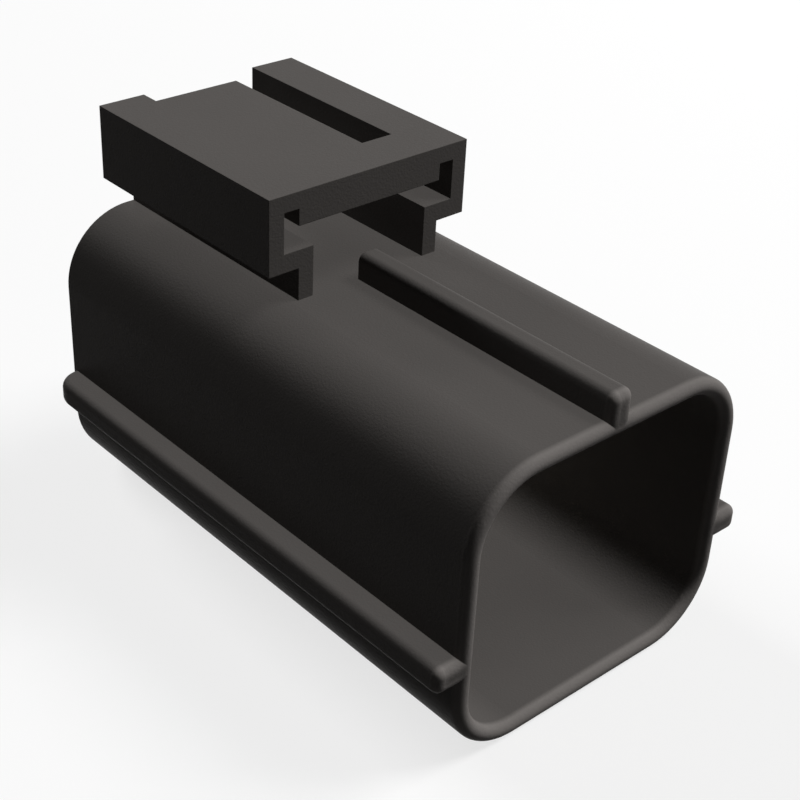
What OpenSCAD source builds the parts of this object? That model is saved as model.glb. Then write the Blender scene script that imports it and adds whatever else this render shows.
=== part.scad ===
// Sealed automotive connector, male half: a hooded housing with a clip rail on top,
// six flat tab terminals, their wire seals and a sliding secondary lock.
//
// Frame: millimetres, +Z up. The hood opens towards -Y and the wires enter from +Y.
// The origin is under the middle of the body, on the flat underside that it rests on.

/* [Body] */
// Width of the body, side ribs left out
body_w = 19.7; // [19.4:0.1:24]
// Height of the body, clip rail left out
body_h = 17.4; // [17:0.1:20]
// Length from the hood's lip to the wire side
body_l = 35; // [34:0.5:40]
// Outer radius of the body's long corners
corner_r = 4.4; // [3:0.1:4.6]
// Wall thickness of the hood, whose lip is a full round
wall = 1; // [0.8:0.1:1.2]
// Depth of the hood, from the lip to the face of the terminal block
hood_depth = 20; // [18:0.5:20.5]

/* [Guide ribs] */
// Thickness of the three guide ribs
rib_t = 1.55; // [1.2:0.05:2]
// How far the ribs stand out of the body
rib_h = 1.55; // [1.2:0.05:2]
// Edge radius of the ribs
rib_edge_r = 0.5; // [0.2:0.05:0.55]
// Height of the middle of the side ribs above the underside
side_rib_z = 6.55; // [5.5:0.05:9]

/* [Clip rail] */
// Width of the rail
rail_w = 14; // [13:0.1:16]
// Length of the rail
rail_l = 16; // [14:0.5:17]
// Height of the rail's top above the body
rail_h = 6.45; // [6:0.05:8]
// Height of the rail's side walls
rail_side_h = 4.5; // [4.2:0.1:5]
// Thickness of the rail's walls, plate and legs
rail_wall = 1; // [0.8:0.1:1.2]
// Width of the thick middle of the plate
pad_w = 10; // [9:0.1:11]
// Thickness of the middle of the plate
pad_t = 2; // [1.5:0.1:2.2]
// Thickness of the flanges that hold the clip from below
flange_t = 1.1; // [0.9:0.1:1.3]
// Clear width between the two legs
leg_gap = 8; // [7.9:0.1:8.4]
// Width of the slot beside the snap tongue
slot_w = 2.15; // [1.5:0.05:2.15]
// Distance from the middle of the rail to the slot
slot_x = 1.8; // [1:0.1:1.8]
// Length of plate left whole in front of the slot
slot_bridge = 3; // [2:0.1:6]
// How far the end of the snap tongue stands back from the rail's end
tongue_setback = 1.25; // [0.5:0.05:3]

/* [Terminal cavities] */
// Distance between columns of cavities
column_pitch = 4.6; // [4.5:0.05:4.7]
// Distance between the two rows
row_pitch = 4.8; // [4.8:0.1:5.2]
// Height of the lower row above the underside
lower_row_z = 4.6; // [4.5:0.1:4.8]
// Diameter of the seal bores
seal_bore_d = 4; // [3.9:0.05:4]
// Length of the seal bores
seal_bore_l = 7; // [6.8:0.1:7.2]

/* [Tab terminals] */
// Width of a tab
tab_w = 1.8; // [1.5:0.1:1.8]
// Thickness of a tab, which is folded double
tab_t = 0.64; // [0.6:0.02:0.8]
// How far the tips stand out of the terminal block
tab_reach = 7.5; // [6:0.5:9]
// Thickness of the sheet that the terminals are folded from
sheet_t = 0.3; // [0.25:0.05:0.35]

/* [Wire seals] */
// Diameter of the wire bore through a seal
wire_bore_d = 1.7; // [1.2:0.1:1.8]
// Diameter of a seal's neck, inside the crimp
seal_neck_d = 2.5; // [2.4:0.1:2.6]
// Diameter of a seal's head between its ribs
seal_head_d = 3.3; // [3:0.1:3.4]
// Squeeze of a sealing rib against its bore, on the radius
seal_squeeze = 0.03; // [0:0.01:0.05]

/* [Secondary lock] */
// Thickness of the lock's plate
lock_plate_t = 1.8; // [1.6:0.1:2]
// Travel from the locked to the open position
lock_travel = 1.8; // [1.6:0.1:1.9]
// Running gap between the lock and what it slides in
lock_gap = 0.1; // [0.08:0.01:0.12]

/* [Hidden] */
$fn = 64;

// cavities are numbered from left to right, upper row first, as seen into the hood
columns = 3;
rows = 2;
cavities = [for (i = [0:columns * rows - 1]) i];

black_plastic = [0.13, 0.125, 0.12];
natural_plastic = [0.82, 0.8, 0.74];
tinned_brass = [0.76, 0.76, 0.75];
silicone = [0.2, 0.42, 0.52];

// how far a cut runs past its face, and how far a joined form sinks into its carrier
lap = 0.5;

front_y = -body_l / 2;
back_y = body_l / 2;
block_y = front_y + hood_depth;
ceiling_z = body_h - wall;
rail_y = back_y - rail_l;

// cavity, from the hood to the wire side: window for the tab, chamber, seal bore
front_wall_t = 1.5;
chamber_y = block_y + front_wall_t;
chamber_w = 2.6;
chamber_h = 2.4;
tab_fit = 0.15;
tab_window_w = tab_w + 2 * tab_fit;
tab_window_h = tab_t + 2 * tab_fit;
seal_bore_y = back_y - seal_bore_l;
lead_in = 0.3;

// terminal, from its tip to its rear, about the axis of its cavity
tip_y = block_y - tab_reach;
tip_taper = 0.9;
tip_w = tab_w / 2;
tip_t = tab_t / 3;
box_side_gap = 0.1;
box_w = chamber_w - 2 * box_side_gap;
box_h = chamber_h;
box_l = 4.5;
box_end_y = chamber_y + box_l;
neck_l = 0.4;
core_barrel_r = 1;
core_barrel_y = box_end_y + neck_l;
core_barrel_l = 1.5;
core_barrel_z = core_barrel_r - box_h / 2;
strip_w = 1.6;
crimp_seam = 0.25;

// seal: a ribbed head towards the wire side and a neck inside the terminal's crimp
seal_set_in = 0.4;
seal_end_y = back_y - seal_set_in;
seal_head_l = 3.8;
seal_neck_l = 2.4;
seal_ribs = 3;
seal_neck_y = seal_end_y - seal_head_l;
seal_barrel_l = 1.8;
seal_barrel_gap = 0.3;
seal_barrel_y = seal_neck_y - seal_barrel_gap - seal_barrel_l;

// lance: a sprung beam under each box, rooted at the wire side, with its hook at the tip
lance_w = 1.4;
lance_t = 0.65;
lance_under_box = 0.05;
lance_top = -box_h / 2 - lance_under_box;
lance_tip_y = chamber_y + 2.3;
lance_root_y = seal_bore_y - 0.5;
hook_h = 0.5;
hook_l = 1.2;
hook_flat = 0.3;
lance_space_w = 1.8;
lance_space_h = 1.5;
lance_space_bottom = -box_h / 2 - lance_space_h;

// secondary lock: plate, one finger under each lance, and a leg at either side
lock_w = 15;
lock_bottom = 1.5;
lock_top = lower_row_z + row_pitch + 2.4;
lock_corner_r = 1.2;
finger_w = 1.4;
finger_hold = 1;
finger_tip_y = lance_tip_y + finger_hold;
finger_top = lance_top - lance_t - lock_gap;
finger_bottom = lance_space_bottom + lock_gap;
finger_bevel = 0.3;
window_funnel = 0.5;
leg_x = 7;
leg_t = 0.9;
leg_h = 3;
leg_l = 6;
leg_z = lower_row_z + row_pitch / 2;
bump_h = 0.3;
bump_l = 1.2;
bump_y = block_y + 3;

// slots between the columns by which a pick draws the lock, with a pocket behind each
pick_x = column_pitch / 2;
pick_w = 1.4;
pick_h = 2.4;
pick_r = 0.3;
pick_room = 0.2;
pick_depth = 1.2;

// catch for the mating half's latch, on the ceiling of the hood
catch_w = 6;
catch_h = 1;
catch_l = 3;
catch_ramp_l = 2.1;
catch_y = front_y + 7;

// hollows in the wire side that keep its walls even
hollow_w = 5.6;
hollow_h = 3;
hollow_l = 11;
hollow_x = 3.4;
hollow_r = 0.6;
hollow_z = lower_row_z + row_pitch + seal_bore_d / 2 + 1;

function cavity_x(i) = (i % columns - (columns - 1) / 2) * column_pitch;
function cavity_z(i) = lower_row_z + (rows - 1 - floor(i / columns)) * row_pitch;

// Puts a drawing on the X-Z plane and gives it the length y0 to y1.
module along_y(y0, y1) {
    translate([0, y1, 0])
        rotate([90, 0, 0])
            linear_extrude(y1 - y0)
                children();
}

// Puts a side view, drawn as (y, z), across the part, centred on x = 0.
module across_x(w) {
    rotate([90, 0, 90])
        translate([0, 0, -w / 2])
            linear_extrude(w)
                children();
}

// Box from two opposite corners.
module corner_box(low, high) {
    translate(low)
        cube(high - low);
}

// Rectangle with round corners, centred on the drawing's origin.
module round_rect(w, h, r) {
    square([w - 2 * r, h], center = true);
    square([w, h - 2 * r], center = true);
    for (x = [-1, 1], y = [-1, 1])
        translate([x * (w / 2 - r), y * (h / 2 - r)])
            circle(r);
}

// Rectangle from (x0, y0) to (x1, y1) whose two upper corners are round.
module round_top(x0, x1, y0, y1, r) {
    translate([x0, y0])
        square([x1 - x0, y1 - r - y0]);
    translate([x0 + r, y0])
        square([x1 - x0 - 2 * r, y1 - y0]);
    for (x = [x0 + r, x1 - r])
        translate([x, y1 - r])
            circle(r);
}

// Outline of the body, seen along Y, shrunk by a margin for the inside of the hood.
module body_outline(margin = 0) {
    translate([0, body_h / 2])
        round_rect(body_w - 2 * margin, body_h - 2 * margin, corner_r - margin);
}

// Half a disc as thick as the wall, round side up: the section of the lip.
module lip_section() {
    intersection() {
        circle(wall / 2);
        translate([-wall, 0])
            square([2 * wall, wall]);
    }
}

// The hood's full-round lip: its section turned round each corner and drawn along each side.
module lip() {
    corner_x = body_w / 2 - corner_r;
    corner_z = body_h / 2 - corner_r;
    path_r = corner_r - wall / 2;
    quadrants = [[1, 1], [-1, 1], [-1, -1], [1, -1]];
    translate([0, front_y + wall / 2, body_h / 2])
        rotate([90, 0, 0])
            for (q = [0:3])
                translate([quadrants[q].x * corner_x, quadrants[q].y * corner_z, 0])
                    rotate([0, 0, 90 * q]) {
                        rotate_extrude(angle = 90)
                            translate([path_r, 0])
                                lip_section();
                        translate([path_r, 0, 0])
                            rotate([90, 0, 0])
                                linear_extrude(2 * (q % 2 == 0 ? corner_z : corner_x))
                                    lip_section();
                    }
}

// Section of a guide rib, from its foot to its rounded crest.
module rib_section(foot) {
    round_top(-rib_t / 2, rib_t / 2, foot, rib_h, rib_edge_r);
}

// Half the section of a round post with a ball top, to be turned about its edge x = 0.
module rib_post_section(foot) {
    ball_z = rib_h - rib_edge_r;
    translate([0, foot])
        square([rib_edge_r, ball_z - foot]);
    intersection() {
        translate([0, ball_z])
            circle(rib_edge_r);
        translate([0, foot])
            square([rib_edge_r, rib_h - foot]);
    }
}

// A guide rib on the plane z = 0, from the lip's front to y1, where it is cut square.
// One radius rounds its long edges and its front, which ends in a quarter post at each side.
// Its foot is at the middle of the wall.
module guide_rib(y1) {
    foot = -wall / 2;
    post_x = rib_t / 2 - rib_edge_r;
    post_y = front_y + rib_edge_r;
    along_y(post_y, y1)
        rib_section(foot);
    across_x(2 * post_x)
        round_top(front_y, front_y + 2 * rib_t, foot, rib_h, rib_edge_r);
    for (side = [-1, 1])
        translate([side * post_x, post_y, 0])
            rotate([0, 0, side < 0 ? 180 : 270])
                rotate_extrude(angle = 90)
                    rib_post_section(foot);
}

// A side rib: its rear end is its section turned down into the wall.
module side_rib() {
    turn_y = back_y - rib_h;
    sunk_turn = 120;
    guide_rib(turn_y);
    translate([0, turn_y, 0])
        rotate([0, -90, 0])
            rotate_extrude(angle = sunk_turn)
                rotate(-90)
                    rib_section(0);
}

// The key rib on top, which ends at the clip rail, and a rib along each side.
module guide_ribs() {
    translate([0, 0, body_h])
        guide_rib(rail_y);
    for (side = [-1, 1])
        translate([side * body_w / 2, 0, side_rib_z])
            rotate([0, side * 90, 0])
                side_rib();
}

// Section of the clip rail above z = 0: a channel for the clip, open below between two
// flanges, on two legs that sink into the body.
module rail_section() {
    side_z = rail_h - rail_side_h;
    groove_w = rail_w - 2 * rail_wall;
    groove_h = rail_side_h - flange_t - rail_wall;
    difference() {
        translate([-rail_w / 2, side_z])
            square([rail_w, rail_side_h]);
        translate([-groove_w / 2, side_z + flange_t])
            square([groove_w, groove_h]);
        translate([-leg_gap / 2, side_z - lap])
            square([leg_gap, flange_t + 2 * lap]);
    }
    translate([-pad_w / 2, rail_h - pad_t])
        square([pad_w, pad_t]);
    for (side = [-1, 1])
        translate([side * (leg_gap + rail_wall) / 2 - rail_wall / 2, -lap])
            square([rail_wall, side_z + flange_t + lap]);
}

// The clip rail. A slot and a step in its rear end free the snap tongue on one side.
module clip_rail() {
    arm_x = slot_x + slot_w;
    plate_z = rail_h - pad_t - lap;
    translate([0, 0, body_h])
        difference() {
            along_y(rail_y, back_y)
                rail_section();
            corner_box([slot_x, rail_y + slot_bridge, plate_z], [arm_x, back_y + lap, rail_h + lap]);
            corner_box([-arm_x, back_y - tongue_setback, plate_z],
                       [slot_x + lap, back_y + lap, rail_h + lap]);
        }
}

// Everything cut away for one terminal and its seal, about the axis of the cavity.
module cavity_cut() {
    bore_r = seal_bore_d / 2;
    corner_box([-tab_window_w / 2, block_y - lap, -tab_window_h / 2],
               [tab_window_w / 2, chamber_y + lap, tab_window_h / 2]);
    corner_box([-chamber_w / 2, chamber_y, -chamber_h / 2],
               [chamber_w / 2, seal_bore_y + lap, chamber_h / 2]);
    corner_box([-lance_space_w / 2, block_y - lap, lance_space_bottom],
               [lance_space_w / 2, chamber_y + lap, -chamber_h / 2]);
    corner_box([-lance_space_w / 2, chamber_y, lance_space_bottom],
               [lance_space_w / 2, lance_root_y, -chamber_h / 4]);
    translate([0, back_y + lap, 0])
        rotate([90, 0, 0])
            cylinder(h = seal_bore_l + lap, r = bore_r);
    translate([0, back_y, 0])
        rotate([90, 0, 0])
            cylinder(h = lead_in, r1 = bore_r + lead_in, r2 = bore_r);
}

// The sprung lance of one cavity, with the slope that the terminal rides over.
module lance() {
    across_x(lance_w)
        polygon([
            [lance_root_y + lap, lance_top - lance_t],
            [lance_tip_y, lance_top - lance_t],
            [lance_tip_y, lance_top + hook_h],
            [lance_tip_y + hook_flat, lance_top + hook_h],
            [lance_tip_y + hook_l, lance_top],
            [lance_root_y + lap, lance_top]]);
}

// Slot for a leg of the secondary lock, with the groove that its bump travels in.
module leg_slot() {
    half_t = leg_t / 2 + lock_gap;
    half_h = leg_h / 2 + lock_gap;
    corner_box([-half_t, block_y - lap, -half_h], [half_t, block_y + leg_l + lock_gap, half_h]);
    corner_box([0, bump_y - lock_travel - lock_gap, -half_h],
               [half_t + bump_h, bump_y + bump_l + lock_gap, half_h]);
}

// Ramp on the ceiling of the hood that the mating half's latch snaps behind.
module latch_catch() {
    across_x(catch_w)
        polygon([
            [catch_y, ceiling_z],
            [catch_y + catch_ramp_l, ceiling_z - catch_h],
            [catch_y + catch_l, ceiling_z - catch_h],
            [catch_y + catch_l, ceiling_z + wall / 2],
            [catch_y, ceiling_z + wall / 2]]);
}

// One moulding: hood, terminal block, ribs and clip rail.
module housing() {
    color(black_plastic) {
        difference() {
            along_y(front_y + wall / 2, back_y)
                body_outline();
            along_y(front_y - lap, block_y)
                body_outline(wall);
            for (i = cavities)
                translate([cavity_x(i), 0, cavity_z(i)])
                    cavity_cut();
            for (side = [-1, 1]) {
                translate([side * leg_x, 0, leg_z])
                    mirror([side < 0 ? 1 : 0, 0, 0])
                        leg_slot();
                translate([side * pick_x, 0, leg_z])
                    along_y(block_y - lap, block_y + pick_depth)
                        round_rect(pick_w + 2 * pick_room, pick_h + 2 * pick_room, pick_r);
                translate([side * hollow_x, 0, hollow_z + hollow_h / 2])
                    along_y(back_y - hollow_l, back_y + lap)
                        round_rect(hollow_w, hollow_h, hollow_r);
            }
        }
        lip();
        guide_ribs();
        clip_rail();
        latch_catch();
        for (i = cavities)
            translate([cavity_x(i), 0, cavity_z(i)])
                lance();
    }
}

// Lead-in round a window of w by h in the face at y: all four sides slope at 45 degrees.
module lead_in_cut(w, h, y, depth) {
    run = depth + lap;
    intersection() {
        linear_extrude(h + 2 * run, center = true)
            polygon([[-w / 2 - run, y - lap], [w / 2 + run, y - lap],
                     [w / 2, y + depth], [-w / 2, y + depth]]);
        across_x(w + 2 * run)
            polygon([[y - lap, -h / 2 - run], [y + depth, -h / 2],
                     [y + depth, h / 2], [y - lap, h / 2 + run]]);
    }
}

// Plate that slides in from the hood: its fingers hold the lances up once it is home.
module secondary_lock() {
    plate_y = block_y - lock_plate_t;
    color(natural_plastic) {
        difference() {
            translate([0, 0, (lock_bottom + lock_top) / 2])
                along_y(plate_y, block_y)
                    round_rect(lock_w, lock_top - lock_bottom, lock_corner_r);
            for (i = cavities)
                translate([cavity_x(i), 0, cavity_z(i)]) {
                    corner_box([-tab_window_w / 2, plate_y - lap, -tab_window_h / 2],
                               [tab_window_w / 2, block_y + lap, tab_window_h / 2]);
                    lead_in_cut(tab_window_w, tab_window_h, plate_y, window_funnel);
                }
            for (side = [-1, 1])
                translate([side * pick_x, 0, leg_z])
                    along_y(plate_y - lap, block_y + lap)
                        round_rect(pick_w, pick_h, pick_r);
        }
        for (i = cavities)
            translate([cavity_x(i), 0, cavity_z(i)])
                across_x(finger_w)
                    polygon([
                        [block_y - lap, finger_bottom], [finger_tip_y, finger_bottom],
                        [finger_tip_y, finger_top - finger_bevel],
                        [finger_tip_y - 2 * finger_bevel, finger_top],
                        [block_y - lap, finger_top]]);
        for (side = [-1, 1])
            translate([side * leg_x, 0, leg_z])
                mirror([side < 0 ? 1 : 0, 0, 0]) {
                    corner_box([-leg_t / 2, block_y - lap, -leg_h / 2],
                               [leg_t / 2, block_y + leg_l, leg_h / 2]);
                    translate([leg_t / 2, 0, 0])
                        linear_extrude(leg_h, center = true)
                            polygon([[0, bump_y], [bump_h, bump_y],
                                     [bump_h, bump_y + bump_l / 2], [0, bump_y + bump_l]]);
                }
    }
}

// The flat tab: its plan and its side view both taper to the tip.
module tab() {
    end_y = chamber_y + sheet_t;
    intersection() {
        linear_extrude(tab_t, center = true)
            polygon([
                [-tip_w / 2, tip_y], [tip_w / 2, tip_y],
                [tab_w / 2, tip_y + tip_taper], [tab_w / 2, end_y],
                [-tab_w / 2, end_y], [-tab_w / 2, tip_y + tip_taper]]);
        across_x(tab_w)
            polygon([
                [tip_y, -tip_t / 2], [tip_y + tip_taper, -tab_t / 2], [end_y, -tab_t / 2],
                [end_y, tab_t / 2], [tip_y + tip_taper, tab_t / 2], [tip_y, tip_t / 2]]);
    }
}

// A crimped barrel: a sheet ring with an open seam on top.
module crimp_barrel(y0, y1, outer_r) {
    difference() {
        along_y(y0, y1)
            difference() {
                circle(outer_r);
                circle(outer_r - sheet_t);
            }
        corner_box([-crimp_seam / 2, y0 - lap, 0], [crimp_seam / 2, y1 + lap, outer_r + lap]);
    }
}

// Section of sheet folded up at both sides, w wide and h high, standing at the height z.
module channel_section(w, h, z) {
    difference() {
        translate([-w / 2, z])
            square([w, h]);
        translate([-w / 2 + sheet_t, z + sheet_t])
            square([w - 2 * sheet_t, h]);
    }
}

// One terminal, stamped and folded from sheet: tab, box, neck, and the crimps for core and seal.
module tab_terminal(i) {
    seal_barrel_r = seal_neck_d / 2 + sheet_t;
    inner_w = box_w - 2 * sheet_t;
    inner_h = box_h - 2 * sheet_t;
    color(tinned_brass)
        translate([cavity_x(i), 0, cavity_z(i)]) {
            tab();
            difference() {
                corner_box([-box_w / 2, chamber_y, -box_h / 2], [box_w / 2, box_end_y, box_h / 2]);
                corner_box([-inner_w / 2, chamber_y + sheet_t, -inner_h / 2],
                           [inner_w / 2, box_end_y + lap, inner_h / 2]);
                corner_box([-inner_w / 2, lance_tip_y - lock_gap, -box_h],
                           [inner_w / 2, lance_tip_y + hook_l + lock_gap, 0]);
            }
            across_x(strip_w)
                polygon([
                    [box_end_y - lap, -box_h / 2],
                    [core_barrel_y + core_barrel_l, -box_h / 2],
                    [seal_barrel_y, -seal_barrel_r],
                    [seal_barrel_y, -seal_barrel_r + sheet_t],
                    [core_barrel_y + core_barrel_l, -box_h / 2 + sheet_t],
                    [box_end_y - lap, -box_h / 2 + sheet_t]]);
            along_y(box_end_y - sheet_t, core_barrel_y + sheet_t)
                channel_section(2 * core_barrel_r, core_barrel_r, -box_h / 2);
            translate([0, 0, core_barrel_z])
                crimp_barrel(core_barrel_y, core_barrel_y + core_barrel_l, core_barrel_r);
            crimp_barrel(seal_barrel_y, seal_barrel_y + seal_barrel_l, seal_barrel_r);
        }
}

// One wire seal, a turned form: a neck for the crimp, a head with round sealing ribs,
// and the bore that grips the wire.
module wire_seal(i) {
    bore_r = wire_bore_d / 2;
    neck_r = seal_neck_d / 2;
    head_r = seal_head_d / 2;
    rib_r = seal_bore_d / 2 + seal_squeeze - head_r;
    rib_pitch = seal_head_l / seal_ribs;
    color(silicone)
        translate([cavity_x(i), seal_end_y, cavity_z(i)])
            rotate([90, 0, 0])
                rotate_extrude() {
                    translate([bore_r, 0])
                        square([head_r - bore_r, seal_head_l]);
                    translate([bore_r, seal_head_l - lap])
                        square([neck_r - bore_r, seal_neck_l + lap]);
                    for (k = [0:seal_ribs - 1])
                        translate([head_r, (k + 0.5) * rib_pitch])
                            circle(rib_r);
                }
}

housing();
secondary_lock();
for (i = cavities)
    tab_terminal(i);
for (i = cavities)
    wire_seal(i);
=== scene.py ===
import math

import bpy
from mathutils import Matrix, Vector


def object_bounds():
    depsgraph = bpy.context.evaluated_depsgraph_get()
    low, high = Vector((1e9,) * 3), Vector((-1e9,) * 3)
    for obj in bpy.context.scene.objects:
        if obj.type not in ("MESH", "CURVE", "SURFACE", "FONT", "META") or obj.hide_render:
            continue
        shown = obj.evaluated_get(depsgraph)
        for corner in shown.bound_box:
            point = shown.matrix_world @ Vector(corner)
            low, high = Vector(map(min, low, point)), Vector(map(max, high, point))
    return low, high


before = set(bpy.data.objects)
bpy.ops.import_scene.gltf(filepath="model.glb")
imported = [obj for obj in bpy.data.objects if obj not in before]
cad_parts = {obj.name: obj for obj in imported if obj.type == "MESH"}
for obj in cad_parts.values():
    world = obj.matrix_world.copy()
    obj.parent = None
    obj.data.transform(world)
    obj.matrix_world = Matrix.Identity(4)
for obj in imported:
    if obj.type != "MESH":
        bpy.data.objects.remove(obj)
cad_low, cad_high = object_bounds()

# Housing
# One black moulding of glass-filled PBT: hood, guide ribs, clip rail and terminal block.
# It is injection moulded in a spark-eroded tool, which leaves a fine, even grain on every face.
MM = 0.001
housing_black = "#565351"
housing_roughness = (0.34, 0.42)
pbt_ior = 1.5
# PBT's gloss would be 0.5. It is kept low, or the white surround would grey every black face.
housing_gloss = 0.005
# Spark erosion typically leaves pits of about 0.03 mm. Drawn coarser, they still hardly show.
housing_grain = 0.14 * MM
housing_grain_depth = 0.015 * MM
moulded_edge = 0.06 * MM
# The melt's flow leaves patches a few millimetres wide, some darker and some paler.
housing_flow = 6 * MM
flow_shade = (0.95, 1.05)
# The hood's lip shines, which plastic with so little gloss can't do. The shine is a painted
# highlight, made paler in the base colour, so it stays where it is in any light. Near a round edge
# less
# solid lies within reach behind a face: the painted highlight starts at the first share of solid
# and is full at the second. Along Y it is held to the lip, and the front ends of the ribs lie there
# too.
highlight_reach = 0.7 * MM
highlight_solid = (0.96, 0.88)
highlight_y = (-16.9 * MM, -17.2 * MM)
highlight_gain = 1.1


def to_linear(srgb_hex):
    """The linear colour, with alpha, of an sRGB hex value."""
    channels = [int(srgb_hex[i:i + 2], 16) / 255 for i in (1, 3, 5)]
    return [c / 12.92 if c <= 0.04045 else ((c + 0.055) / 1.055) ** 2.4 for c in channels] + [1]


def add_node(tree, kind, inputs, **settings):
    """Adds a node with its settings. Each input is given a value, or linked if it gets a socket."""
    made = tree.nodes.new(kind)
    for name, value in settings.items():
        setattr(made, name, value)
    for name, value in inputs.items():
        if isinstance(value, bpy.types.NodeSocket):
            tree.links.new(value, made.inputs[name])
        else:
            made.inputs[name].default_value = value
    return made


def start_material(name):
    """An empty node material, its tree and the position on the piece that its patterns use."""
    material = bpy.data.materials.new(name)
    material.use_nodes = True
    tree = material.node_tree
    tree.nodes.clear()
    place = add_node(tree, "ShaderNodeTexCoord", {}).outputs["Object"]
    return material, tree, place


def dress(nodes, material):
    """Gives the named pieces one material."""
    for name in nodes:
        for material_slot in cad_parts[name].material_slots:
            material_slot.material = material


def moulded_skin(tree, place, grain, depth):
    """The normal of a moulded face: edges that the tool leaves a little round, and a fine grain."""
    grains = add_node(tree, "ShaderNodeTexNoise", {
        "Vector": place, "Scale": 1 / grain, "Detail": 3,
    })
    edges = add_node(tree, "ShaderNodeBevel", {"Radius": moulded_edge}, samples=4)
    skin = add_node(tree, "ShaderNodeBump", {
        "Height": grains.outputs["Fac"],
        "Distance": depth,
        "Normal": edges.outputs["Normal"],
    })
    return skin.outputs["Normal"]


def black_pbt():
    """Black PBT: dark warm grey in full light, nearly matt, a little uneven where the melt flowed,
    and with a painted highlight, a paler colour, on the round edges at the hood's mouth."""
    material, tree, place = start_material("black_glass_filled_pbt")
    flow = add_node(tree, "ShaderNodeTexNoise", {
        "Vector": place, "Scale": 1 / housing_flow, "Detail": 2,
    })
    shade = add_node(tree, "ShaderNodeMapRange", {
        "Value": flow.outputs["Fac"], "To Min": flow_shade[0], "To Max": flow_shade[1],
    })
    # Painted highlight: round edges at the mouth, where little solid lies behind a face, get a
    # paler colour.
    solid_behind = add_node(tree, "ShaderNodeAmbientOcclusion", {
        "Distance": highlight_reach,
    }, inside=True, only_local=True, samples=8)
    highlight_on_edge = add_node(tree, "ShaderNodeMapRange", {
        "Value": solid_behind.outputs["AO"],
        "From Min": highlight_solid[0],
        "From Max": highlight_solid[1],
        "To Min": 0.0,
        "To Max": highlight_gain,
    })
    along = add_node(tree, "ShaderNodeSeparateXYZ", {"Vector": place})
    at_mouth = add_node(tree, "ShaderNodeMapRange", {
        "Value": along.outputs["Y"],
        "From Min": highlight_y[0],
        "From Max": highlight_y[1],
        "To Min": 0.0,
        "To Max": 1.0,
    })
    # The flow's random tone, plus the painted highlight on the mouth's round edges.
    flow_and_highlight = add_node(tree, "ShaderNodeMath", {
        0: highlight_on_edge.outputs["Result"], 1: at_mouth.outputs["Result"], 2: shade.outputs["Result"],
    }, operation="MULTIPLY_ADD")
    colour = add_node(tree, "ShaderNodeMix", {
        "Factor": 1.0, "A": to_linear(housing_black), "B": flow_and_highlight.outputs["Value"],
    }, data_type="RGBA", blend_type="MULTIPLY")
    roughness = add_node(tree, "ShaderNodeMapRange", {
        "Value": flow.outputs["Fac"],
        "To Min": housing_roughness[0],
        "To Max": housing_roughness[1],
    })
    plastic = add_node(tree, "ShaderNodeBsdfPrincipled", {
        "Base Color": colour.outputs["Result"],
        "Roughness": roughness.outputs["Result"],
        "IOR": pbt_ior,
        "Specular IOR Level": housing_gloss,
        "Normal": moulded_skin(tree, place, housing_grain, housing_grain_depth),
    })
    add_node(tree, "ShaderNodeOutputMaterial", {"Surface": plastic.outputs["BSDF"]})
    return material


dress(["housing"], black_pbt())

# Tab terminals
# Six terminals stamped and folded from 0.3 mm brass strip and tin plated, pushed into the housing
# from the wire side until the lances catch them. The tin is bright and the strip rolled along Y.
tin_grey = "#c9c8c3"
tin_roughness = (0.24, 0.4)
tin_mottle = 0.5 * MM
# Rolled strip typically has lines of about 0.01 mm. Here they are drawn coarser, so they show.
roll_line = 0.12 * MM
roll_length = 3 * MM
roll_depth = 0.007 * MM


def tinned_brass():
    """Tin plate: a pale grey metal whose rolling lines blur its reflections one way."""
    material, tree, place = start_material("tin_plated_brass")
    rolled = add_node(tree, "ShaderNodeMapping", {
        "Vector": place, "Scale": (1 / roll_line, 1 / roll_length, 1 / roll_line),
    })
    lines = add_node(tree, "ShaderNodeTexNoise", {
        "Vector": rolled.outputs["Vector"], "Scale": 1, "Detail": 2,
    })
    mottle = add_node(tree, "ShaderNodeTexNoise", {
        "Vector": place, "Scale": 1 / tin_mottle, "Detail": 3,
    })
    roughness = add_node(tree, "ShaderNodeMapRange", {
        "Value": mottle.outputs["Fac"], "To Min": tin_roughness[0], "To Max": tin_roughness[1],
    })
    surface = add_node(tree, "ShaderNodeBump", {
        "Height": lines.outputs["Fac"], "Distance": roll_depth,
    })
    metal = add_node(tree, "ShaderNodeBsdfPrincipled", {
        "Base Color": to_linear(tin_grey),
        "Metallic": 1.0,
        "Roughness": roughness.outputs["Result"],
        "Normal": surface.outputs["Normal"],
    })
    add_node(tree, "ShaderNodeOutputMaterial", {"Surface": metal.outputs["BSDF"]})
    return material


dress([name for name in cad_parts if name.startswith("tab_terminal")], tinned_brass())

# Wire seals
# Six soft silicone seals, each crimped to its terminal and pressed into its bore. They are moulded
# self-lubricating, so they have a faint oily sheen, and light goes a little way into them.
seal_blue = "#4f86a0"
seal_roughness = (0.32, 0.5)
silicone_ior = 1.41
# The oil lies in patches of about a millimetre.
oil_patch = 1 * MM
# A mould's grain is typically about 0.05 mm. Drawn coarser, it still hardly shows.
seal_grain = 0.2 * MM
seal_grain_depth = 0.016 * MM
# A fifth of the light goes in, and blue comes back from deepest.
seal_light_share = 0.2
seal_light_depth = 0.4 * MM
seal_light_reach = (0.6, 1.0, 1.2)


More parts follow.
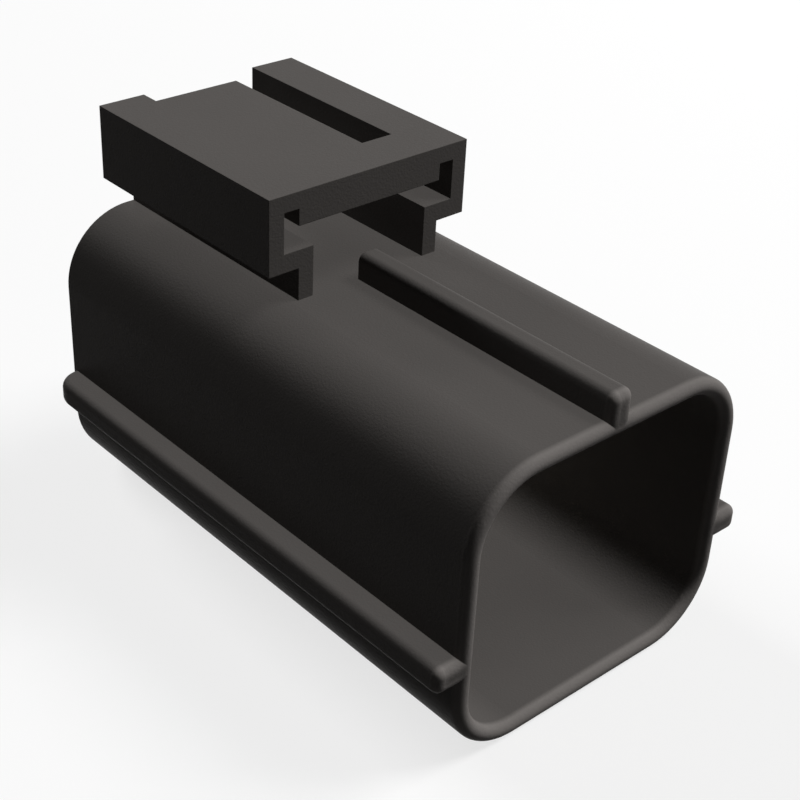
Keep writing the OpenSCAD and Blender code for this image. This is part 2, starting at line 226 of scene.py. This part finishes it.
def oily_silicone():
    """Silicone: slightly translucent, with a soft shine that thin oil makes patchy."""
    material, tree, place = start_material("self_lubricating_silicone")
    oil = add_node(tree, "ShaderNodeTexNoise", {
        "Vector": place, "Scale": 1 / oil_patch, "Detail": 2,
    })
    roughness = add_node(tree, "ShaderNodeMapRange", {
        "Value": oil.outputs["Fac"], "To Min": seal_roughness[0], "To Max": seal_roughness[1],
    })
    rubber = add_node(tree, "ShaderNodeBsdfPrincipled", {
        "Base Color": to_linear(seal_blue),
        "Roughness": roughness.outputs["Result"],
        "IOR": silicone_ior,
        "Subsurface Weight": seal_light_share,
        "Subsurface Radius": seal_light_reach,
        "Subsurface Scale": seal_light_depth,
        "Normal": moulded_skin(tree, place, seal_grain, seal_grain_depth),
    })
    add_node(tree, "ShaderNodeOutputMaterial", {"Surface": rubber.outputs["BSDF"]})
    return material


dress([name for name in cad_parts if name.startswith("wire_seal")], oily_silicone())

# Secondary lock
# One plate of unfilled PBT in its natural colour, slid in from the hood once the terminals are in.
# Without glass fibre it is smoother than the housing and lets a little light in at its thin edges.
lock_natural = "#e4dfd2"
lock_roughness = 0.42
# Its grain is as fine as the housing's. Drawn coarser, it still hardly shows.
lock_grain = 0.2 * MM
lock_grain_depth = 0.012 * MM
# Under a fifth of the light goes in, and red comes back from deepest.
lock_light_share = 0.15
lock_light_depth = 0.5 * MM
lock_light_reach = (1.0, 0.9, 0.7)


def natural_pbt():
    """Natural PBT: off-white, waxy and faintly translucent."""
    material, tree, place = start_material("natural_pbt")
    plastic = add_node(tree, "ShaderNodeBsdfPrincipled", {
        "Base Color": to_linear(lock_natural),
        "Roughness": lock_roughness,
        "IOR": pbt_ior,
        "Subsurface Weight": lock_light_share,
        "Subsurface Radius": lock_light_reach,
        "Subsurface Scale": lock_light_depth,
        "Normal": moulded_skin(tree, place, lock_grain, lock_grain_depth),
    })
    add_node(tree, "ShaderNodeOutputMaterial", {"Surface": plastic.outputs["BSDF"]})
    return material


dress(["secondary_lock"], natural_pbt())

# Studio
# A pale floor under a white surround, which the eye and every mirror see as white. Other light
# from them is kept low, so that the lamps alone shape the part and it keeps its soft shadow.
studio_white = to_linear("#ffffff")
floor_size = 0.6
floor_bounce = "#4a4a4a"
shadow_strength = 0.8
surround_light = 0.015


def seen_directly(tree):
    """1 for a ray from the camera, a reflection or a clear piece, and 0 for light that spreads."""
    rays = add_node(tree, "ShaderNodeLightPath", {}).outputs
    mirrors = add_node(tree, "ShaderNodeMath", {
        0: rays["Is Glossy Ray"], 1: rays["Is Transmission Ray"],
    }, operation="MAXIMUM")
    return add_node(tree, "ShaderNodeMath", {
        0: rays["Is Camera Ray"], 1: mirrors.outputs["Value"],
    }, operation="MAXIMUM").outputs["Value"]


def pale_floor():
    """A matt sheet: white with the shadow kept where it is seen, and grey to spreading light."""
    material, tree, _ = start_material("matt_white_sheet")
    lit = add_node(tree, "ShaderNodeBsdfDiffuse", {"Color": studio_white})
    glow = add_node(tree, "ShaderNodeEmission", {"Color": studio_white})
    shown = add_node(tree, "ShaderNodeMixShader", {
        "Fac": shadow_strength, 1: glow.outputs["Emission"], 2: lit.outputs["BSDF"],
    })
    bounce = add_node(tree, "ShaderNodeBsdfDiffuse", {"Color": to_linear(floor_bounce)})
    sheet = add_node(tree, "ShaderNodeMixShader", {
        "Fac": seen_directly(tree), 1: bounce.outputs["BSDF"], 2: shown.outputs["Shader"],
    })
    add_node(tree, "ShaderNodeOutputMaterial", {"Surface": sheet.outputs["Shader"]})
    return material


bpy.ops.mesh.primitive_plane_add(size=floor_size, location=(0, 0, cad_low.z))
floor = bpy.context.object
floor.name = "floor"
floor.data.materials.append(pale_floor())

world = bpy.data.worlds.new("white_surround")
world.use_nodes = True
bpy.context.scene.world = world
surround = world.node_tree
surround.nodes.clear()
surround_strength = add_node(surround, "ShaderNodeMapRange", {
    "Value": seen_directly(surround), "To Min": surround_light, "To Max": 1.0,
})
background = add_node(surround, "ShaderNodeBackground", {
    "Color": studio_white, "Strength": surround_strength.outputs["Result"],
})
add_node(surround, "ShaderNodeOutputWorld", {"Surface": background.outputs["Background"]})

# Lamps
# Square soft boxes that face the middle of the part. Bearing runs from the hood's side, -Y,
# round to the right, +X, and height is the angle above the floor. The key and the open box stand
# at one place: the key casts the shadows, and the open box, which casts none, lights into them.
lamp_distance = 2.0
lamp_size = 0.7
lamp_aim = Vector((0, 0, 10 * MM))
key_bearing = 64
key_height = 52


def soft_box(name, bearing, height, level, casts_shadow=True):
    """A lamp that lights a face turned to it at level, where 1 shows a colour as it is written."""
    lamp = bpy.data.lights.new(name, "AREA")
    lamp.shape = "SQUARE"
    lamp.size = lamp_size
    lamp.energy = level * math.pi ** 2 * lamp_distance ** 2
    lamp.use_shadow = casts_shadow
    bearing, height = math.radians(bearing), math.radians(height)
    away = Vector((
        math.sin(bearing) * math.cos(height),
        -math.cos(bearing) * math.cos(height),
        math.sin(height),
    ))
    made = bpy.data.objects.new(name, lamp)
    made.location = lamp_aim + lamp_distance * away
    made.rotation_euler = away.to_track_quat("Z", "Y").to_euler()
    bpy.context.scene.collection.objects.link(made)


soft_box("key_box", key_bearing, key_height, level=0.2)
soft_box("open_box", key_bearing, key_height, level=0.9, casts_shadow=False)
soft_box("back_box", bearing=187, height=25, level=0.28)

# Camera
# It stands where the picture was taken from: left of the hood's mouth and above it. Heading is
# measured from +Y towards +X, and the lens, in millimetres, is for a sensor 36 mm wide.
camera_place = Vector((-53.21, -58.85, 58.98)) * MM
camera_heading = math.radians(42.90)
camera_down = math.radians(31.70)
camera_roll = math.radians(2.89)

lens = bpy.data.cameras.new("camera")
lens.sensor_width = 36
lens.lens = 72.64
lens.clip_start = 1 * MM
lens.clip_end = 10
camera = bpy.data.objects.new("camera", lens)
turned = Matrix.Rotation(-camera_heading, 4, "Z")
tilted = Matrix.Rotation(math.pi / 2 - camera_down, 4, "X")
rolled = Matrix.Rotation(camera_roll, 4, "Z")
camera.matrix_world = Matrix.Translation(camera_place) @ turned @ tilted @ rolled
bpy.context.scene.collection.objects.link(camera)
bpy.context.scene.camera = camera
bpy.context.scene.view_settings.view_transform = "Standard"

bpy.context.view_layer.update()
